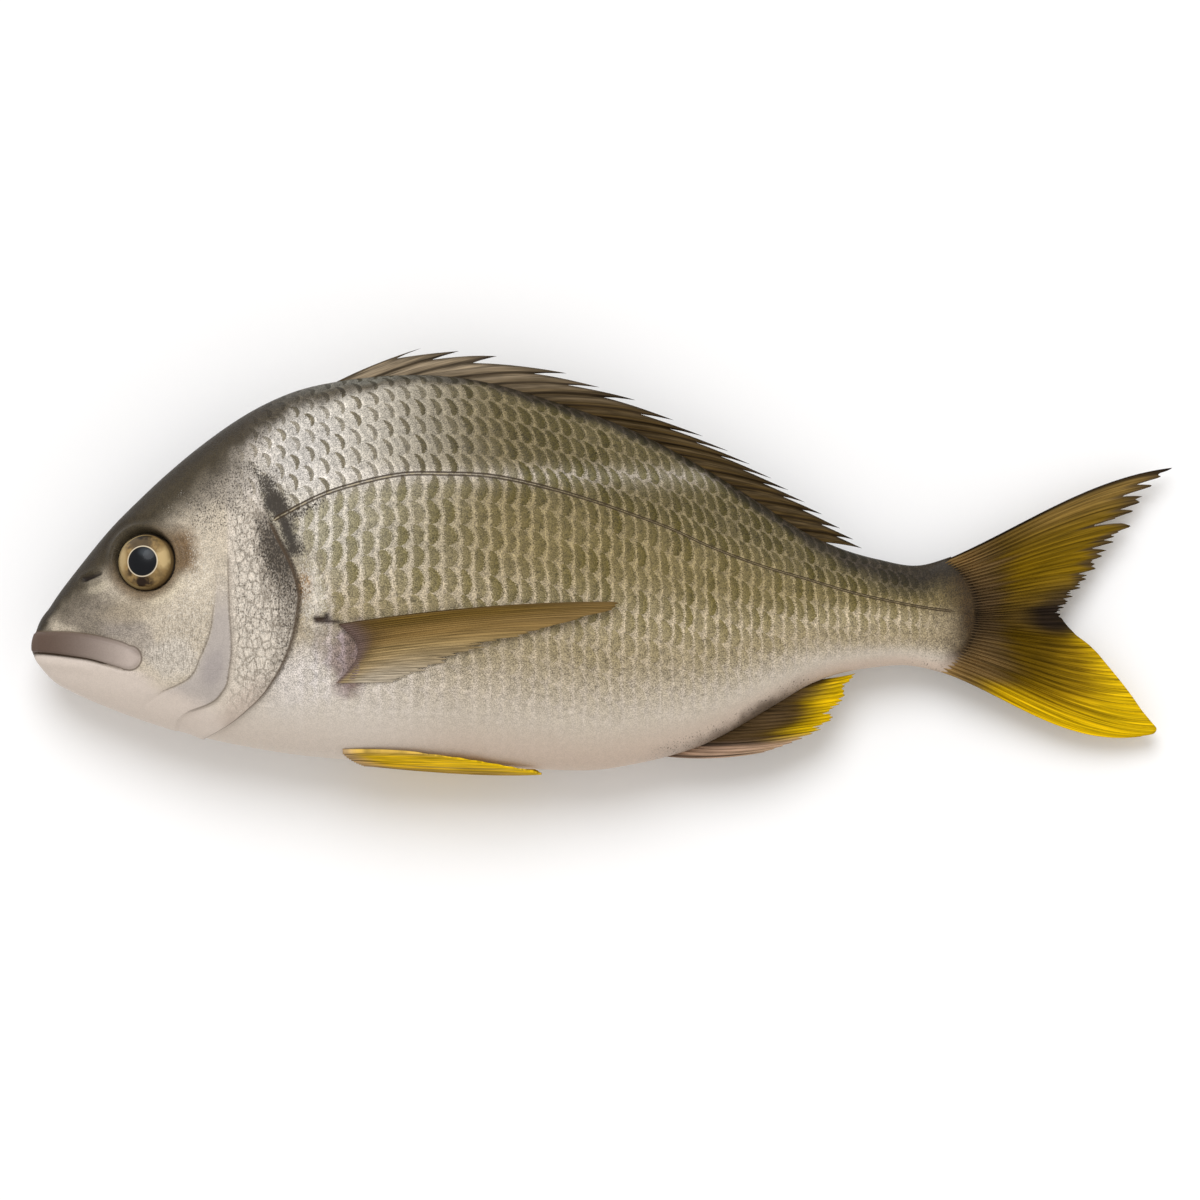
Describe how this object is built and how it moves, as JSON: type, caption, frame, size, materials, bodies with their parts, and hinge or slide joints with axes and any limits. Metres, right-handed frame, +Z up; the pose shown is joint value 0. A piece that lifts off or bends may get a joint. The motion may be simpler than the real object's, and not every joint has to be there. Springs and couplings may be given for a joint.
{
  "type": "whole raw fish",
  "caption": "Whole raw sea bream lying on its side: deep scaled body, folded spiny back fin, forked tail and yellow lower fins.",
  "frame": {"origin": "on the table under the middle of the fish", "axes": "+X from the snout towards the tail, +Y towards the back, +Z up out of the shown left flank"},
  "size_m": [0.32, 0.1199, 0.0458],
  "materials": {
    "skin": "wet, silvery scales",
    "eye": "wet and clear, gold iris round a black pupil",
    "brown_fin": "satin, ribbed by its rays",
    "tail_fin": "satin, ribbed by its rays",
    "yellow_fin": "satin, ribbed by its rays"
  },
  "bodies": {
    "root": {"body": "skin", "eye_left": "eye", "eye_right": "eye", "dorsal_fin": "brown_fin", "tail_fin": "tail_fin", "anal_fin": "yellow_fin", "pectoral_fin_left": "brown_fin", "pectoral_fin_right": "brown_fin", "pelvic_fin_left": "yellow_fin", "pelvic_fin_right": "yellow_fin"}
  },
  "joints": []
}
